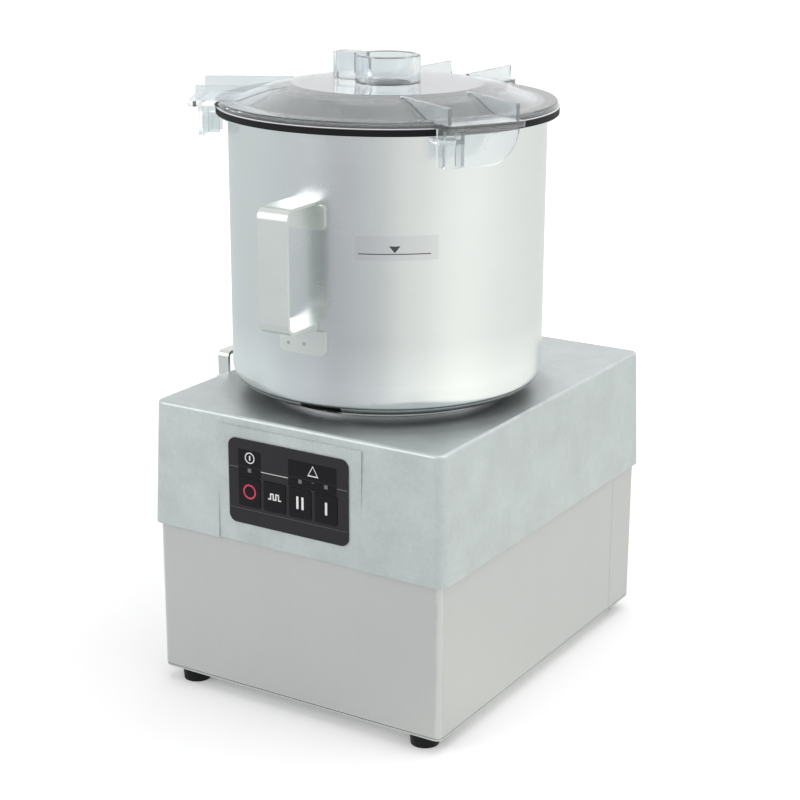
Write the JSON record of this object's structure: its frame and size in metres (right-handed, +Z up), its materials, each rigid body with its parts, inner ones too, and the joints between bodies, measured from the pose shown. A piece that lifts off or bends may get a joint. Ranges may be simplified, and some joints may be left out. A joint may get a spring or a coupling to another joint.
{
  "type": "bowl cutter",
  "caption": "Table-top bowl cutter: cast hood on a sheet casing, lift-off steel bowl with a strip handle, toothed sickle blades, clear twist-on lid, key panel and lock lever.",
  "frame": {"origin": "on the table, under the middle of the machine's outline", "axes": "+Z up; the control panel and the bowl's handle face -Y; +X to the right as seen by the user"},
  "size_m": [0.3108, 0.4166, 0.5357],
  "materials": {
    "cast_alloy": "matt cast, finely mottled",
    "casing_sheet": "satin sheet",
    "bowl_steel": "satin spun stainless steel",
    "handle_steel": "bright brushed strip",
    "blade_steel": "ground and polished",
    "clear_plastic": "clear moulded plastic",
    "black_rubber": "matt",
    "panel_foil": "satin printed foil",
    "key_foil": "satin printed foil",
    "lamp_lens": "clear lens over a small lamp",
    "circuit_board": "varnished board",
    "bolt_steel": "plain zinc plated",
    "machined_alloy": "turned",
    "motor_core": "varnished sheet pack",
    "winding_copper": "enamelled wire",
    "bearing_steel": "ground",
    "shaft_steel": "ground",
    "dark_plastic": "moulded",
    "housing_plastic": "moulded"
  },
  "bodies": {
    "base": {"hood": "cast_alloy", "body_shell": "casing_sheet", "rear_cover": "casing_sheet", "base_plate": "casing_sheet", "rubber_feet": "black_rubber", "foot_screws": "bolt_steel", "control_panel": "panel_foil", "status_lamps": "lamp_lens", "control_board": "circuit_board", "bowl_seat": "machined_alloy", "locating_pins": "shaft_steel", "shaft_seal": "black_rubber", "motor_upper_shield": "machined_alloy", "motor_lower_shield": "machined_alloy", "motor_tie_rods": "bolt_steel", "stator_core": "motor_core", "stator_windings": "winding_copper", "upper_bearing": "bearing_steel", "lower_bearing": "bearing_steel", "lever_bush": "dark_plastic", "lever_switch": "dark_plastic", "power_board": "circuit_board", "contactors": "dark_plastic", "terminal_block": "housing_plastic", "cable_gland": "dark_plastic"},
    "drive": {"drive_shaft": "shaft_steel", "rotor_core": "motor_core", "cooling_fan": "dark_plastic", "bearing_inner_rings": "bearing_steel"},
    "bowl": {"bowl_shell": "bowl_steel", "bowl_foot_ring": "bowl_steel", "bowl_tube": "bowl_steel", "bowl_handle": "handle_steel"},
    "blade_rotor": {"blade_hub": "blade_steel", "lower_blades": "blade_steel", "upper_blades": "blade_steel", "blade_spacer": "blade_steel", "clamp_sleeve": "blade_steel", "hub_knob": "dark_plastic"},
    "gasket": {"lid_gasket": "black_rubber"},
    "lid": {"lid_cover": "clear_plastic"},
    "stop_key": {"key_stop": "key_foil"},
    "pulse_key": {"key_pulse": "key_foil"},
    "speed_two_key": {"key_speed_two": "key_foil"},
    "speed_one_key": {"key_speed_one": "key_foil"},
    "lever": {"lock_lever": "handle_steel", "lever_shaft": "shaft_steel", "lock_hook": "bolt_steel"}
  },
  "joints": [
    {"name": "drive_spin", "type": "hinge", "parent": "base", "child": "drive", "pos_m": [0, -0.035, 0.2], "axis": [0, 0, 1], "continuous": true},
    {"name": "bowl_lift", "type": "slide", "parent": "base", "child": "bowl", "axis": [0, 0, 1], "range_m": [0, 0.13]},
    {"name": "blade_spin", "type": "hinge", "parent": "bowl", "child": "blade_rotor", "pos_m": [0, -0.035, 0.3], "axis": [0, 0, 1], "continuous": true},
    {"name": "lid_lift", "type": "slide", "parent": "bowl", "child": "gasket", "axis": [0, 0, 1], "range_m": [0, 0.06]},
    {"name": "lid_turn", "type": "hinge", "parent": "gasket", "child": "lid", "pos_m": [0, -0.035, 0.5], "axis": [0, 0, 1], "range_deg": [0, 14]},
    {"name": "lever_swing", "type": "hinge", "parent": "base", "child": "lever", "pos_m": [-0.15, -0.0685, 0.238], "axis": [1, 0, 0], "range_deg": [0, 70]},
    {"name": "stop_press", "type": "slide", "parent": "base", "child": "stop_key", "axis": [0, 1, 0], "range_m": [0, 0.0006], "stiffness_N_per_m": 500},
    {"name": "pulse_press", "type": "slide", "parent": "base", "child": "pulse_key", "axis": [0, 1, 0], "range_m": [0, 0.0006], "stiffness_N_per_m": 500},
    {"name": "speed_two_press", "type": "slide", "parent": "base", "child": "speed_two_key", "axis": [0, 1, 0], "range_m": [0, 0.0006], "stiffness_N_per_m": 500},
    {"name": "speed_one_press", "type": "slide", "parent": "base", "child": "speed_one_key", "axis": [0, 1, 0], "range_m": [0, 0.0006], "stiffness_N_per_m": 500}
  ],
  "couplings": [
    {"joint": "blade_spin", "follows": "drive_spin", "ratio": 1}
  ]
}
